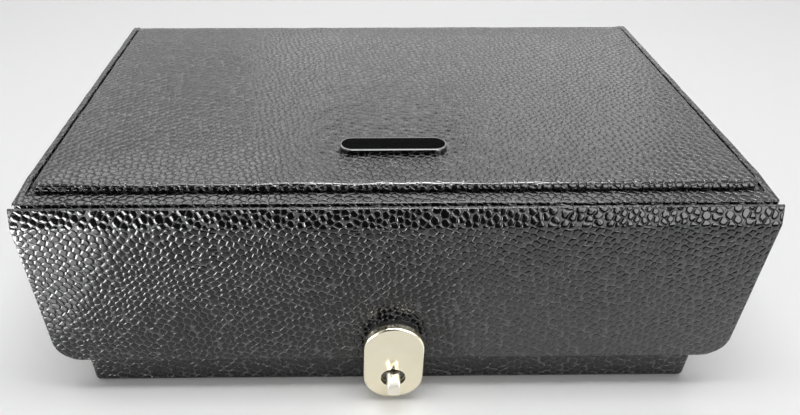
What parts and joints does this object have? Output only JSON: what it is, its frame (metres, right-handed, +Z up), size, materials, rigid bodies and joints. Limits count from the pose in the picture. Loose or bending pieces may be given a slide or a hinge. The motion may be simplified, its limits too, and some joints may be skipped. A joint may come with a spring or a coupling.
{
  "type": "jewelry box",
  "caption": "Low rectangular jewelry box in black pebbled leatherette, with a padded lid on hinges, a folding front flap, a turn lock, a sliding ring tray and a mirror.",
  "frame": {"origin": "centre of the flat face that the box rests on", "axes": "+X to the right seen from the front, -Y towards the front flap and lock, +Z up"},
  "size_m": [0.26, 0.1842, 0.0918],
  "materials": {
    "leatherette": "glossy black pebbled leatherette",
    "board": "raw fibreboard",
    "base_paper": "black grained covering paper",
    "velour": "short-pile velour",
    "mirror": "silvered glass",
    "badge": "gloss black enamel, bare",
    "lock_plating": "polished pale plating",
    "steel": "nickel-plated steel"
  },
  "bodies": {
    "body": {"base_sheet": "base_paper", "base_board": "board", "front_wall": "board", "back_wall": "board", "left_wall": "board", "right_wall": "board", "body_wrap": "leatherette", "front_lining": "velour", "back_lining": "velour", "left_lining": "velour", "right_lining": "velour", "floor_lining": "velour", "front_rail": "velour", "back_rail": "velour", "long_divider": "velour", "cross_dividers": "velour", "keeper": "steel", "keeper_screws": "steel", "left_body_leaf": "steel", "right_body_leaf": "steel", "hinge_pins": "steel", "body_hinge_screws": "steel"},
    "lid": {"lid_board": "board", "lid_wrap": "leatherette", "lid_panel": "leatherette", "badge": "badge", "lid_liner": "velour", "mirror": "mirror", "mirror_frame": "velour", "left_lid_leaf": "steel", "right_lid_leaf": "steel", "lid_hinge_screws": "steel"},
    "flap": {"flap_board": "board", "flap_wrap": "leatherette", "flap_lining": "velour", "crease_strip": "leatherette", "lock_plate": "lock_plating", "lock_body": "lock_plating", "lock_backing": "lock_plating", "lock_rivets": "lock_plating"},
    "knob": {"turn_knob": "lock_plating", "knob_spindle": "steel", "cam_lug": "steel", "retaining_ring": "steel"},
    "tray": {"tray_front_wall": "velour", "tray_back_wall": "velour", "tray_left_wall": "velour", "tray_right_wall": "velour", "tray_floor": "velour", "tray_long_divider": "velour", "tray_cross_divider": "velour", "ring_bed": "velour", "ring_rolls": "velour"}
  },
  "joints": [
    {"name": "lid_hinge", "type": "hinge", "parent": "body", "child": "lid", "pos_m": [0, 0.0808, 0.0787], "axis": [-1, 0, 0], "range_deg": [0, 105]},
    {"name": "flap_fold", "type": "hinge", "parent": "lid", "child": "flap", "pos_m": [0, -0.0785, 0.0863], "axis": [-1, 0, 0], "range_deg": [0, 120], "deforming": ["crease_strip"]},
    {"name": "lock_turn", "type": "hinge", "parent": "flap", "child": "knob", "pos_m": [0, -0.0896, 0.0134], "axis": [0, -1, 0], "range_deg": [0, 90]},
    {"name": "tray_slide", "type": "slide", "parent": "body", "child": "tray", "axis": [1, 0, 0], "range_m": [0, 0.113]}
  ]
}
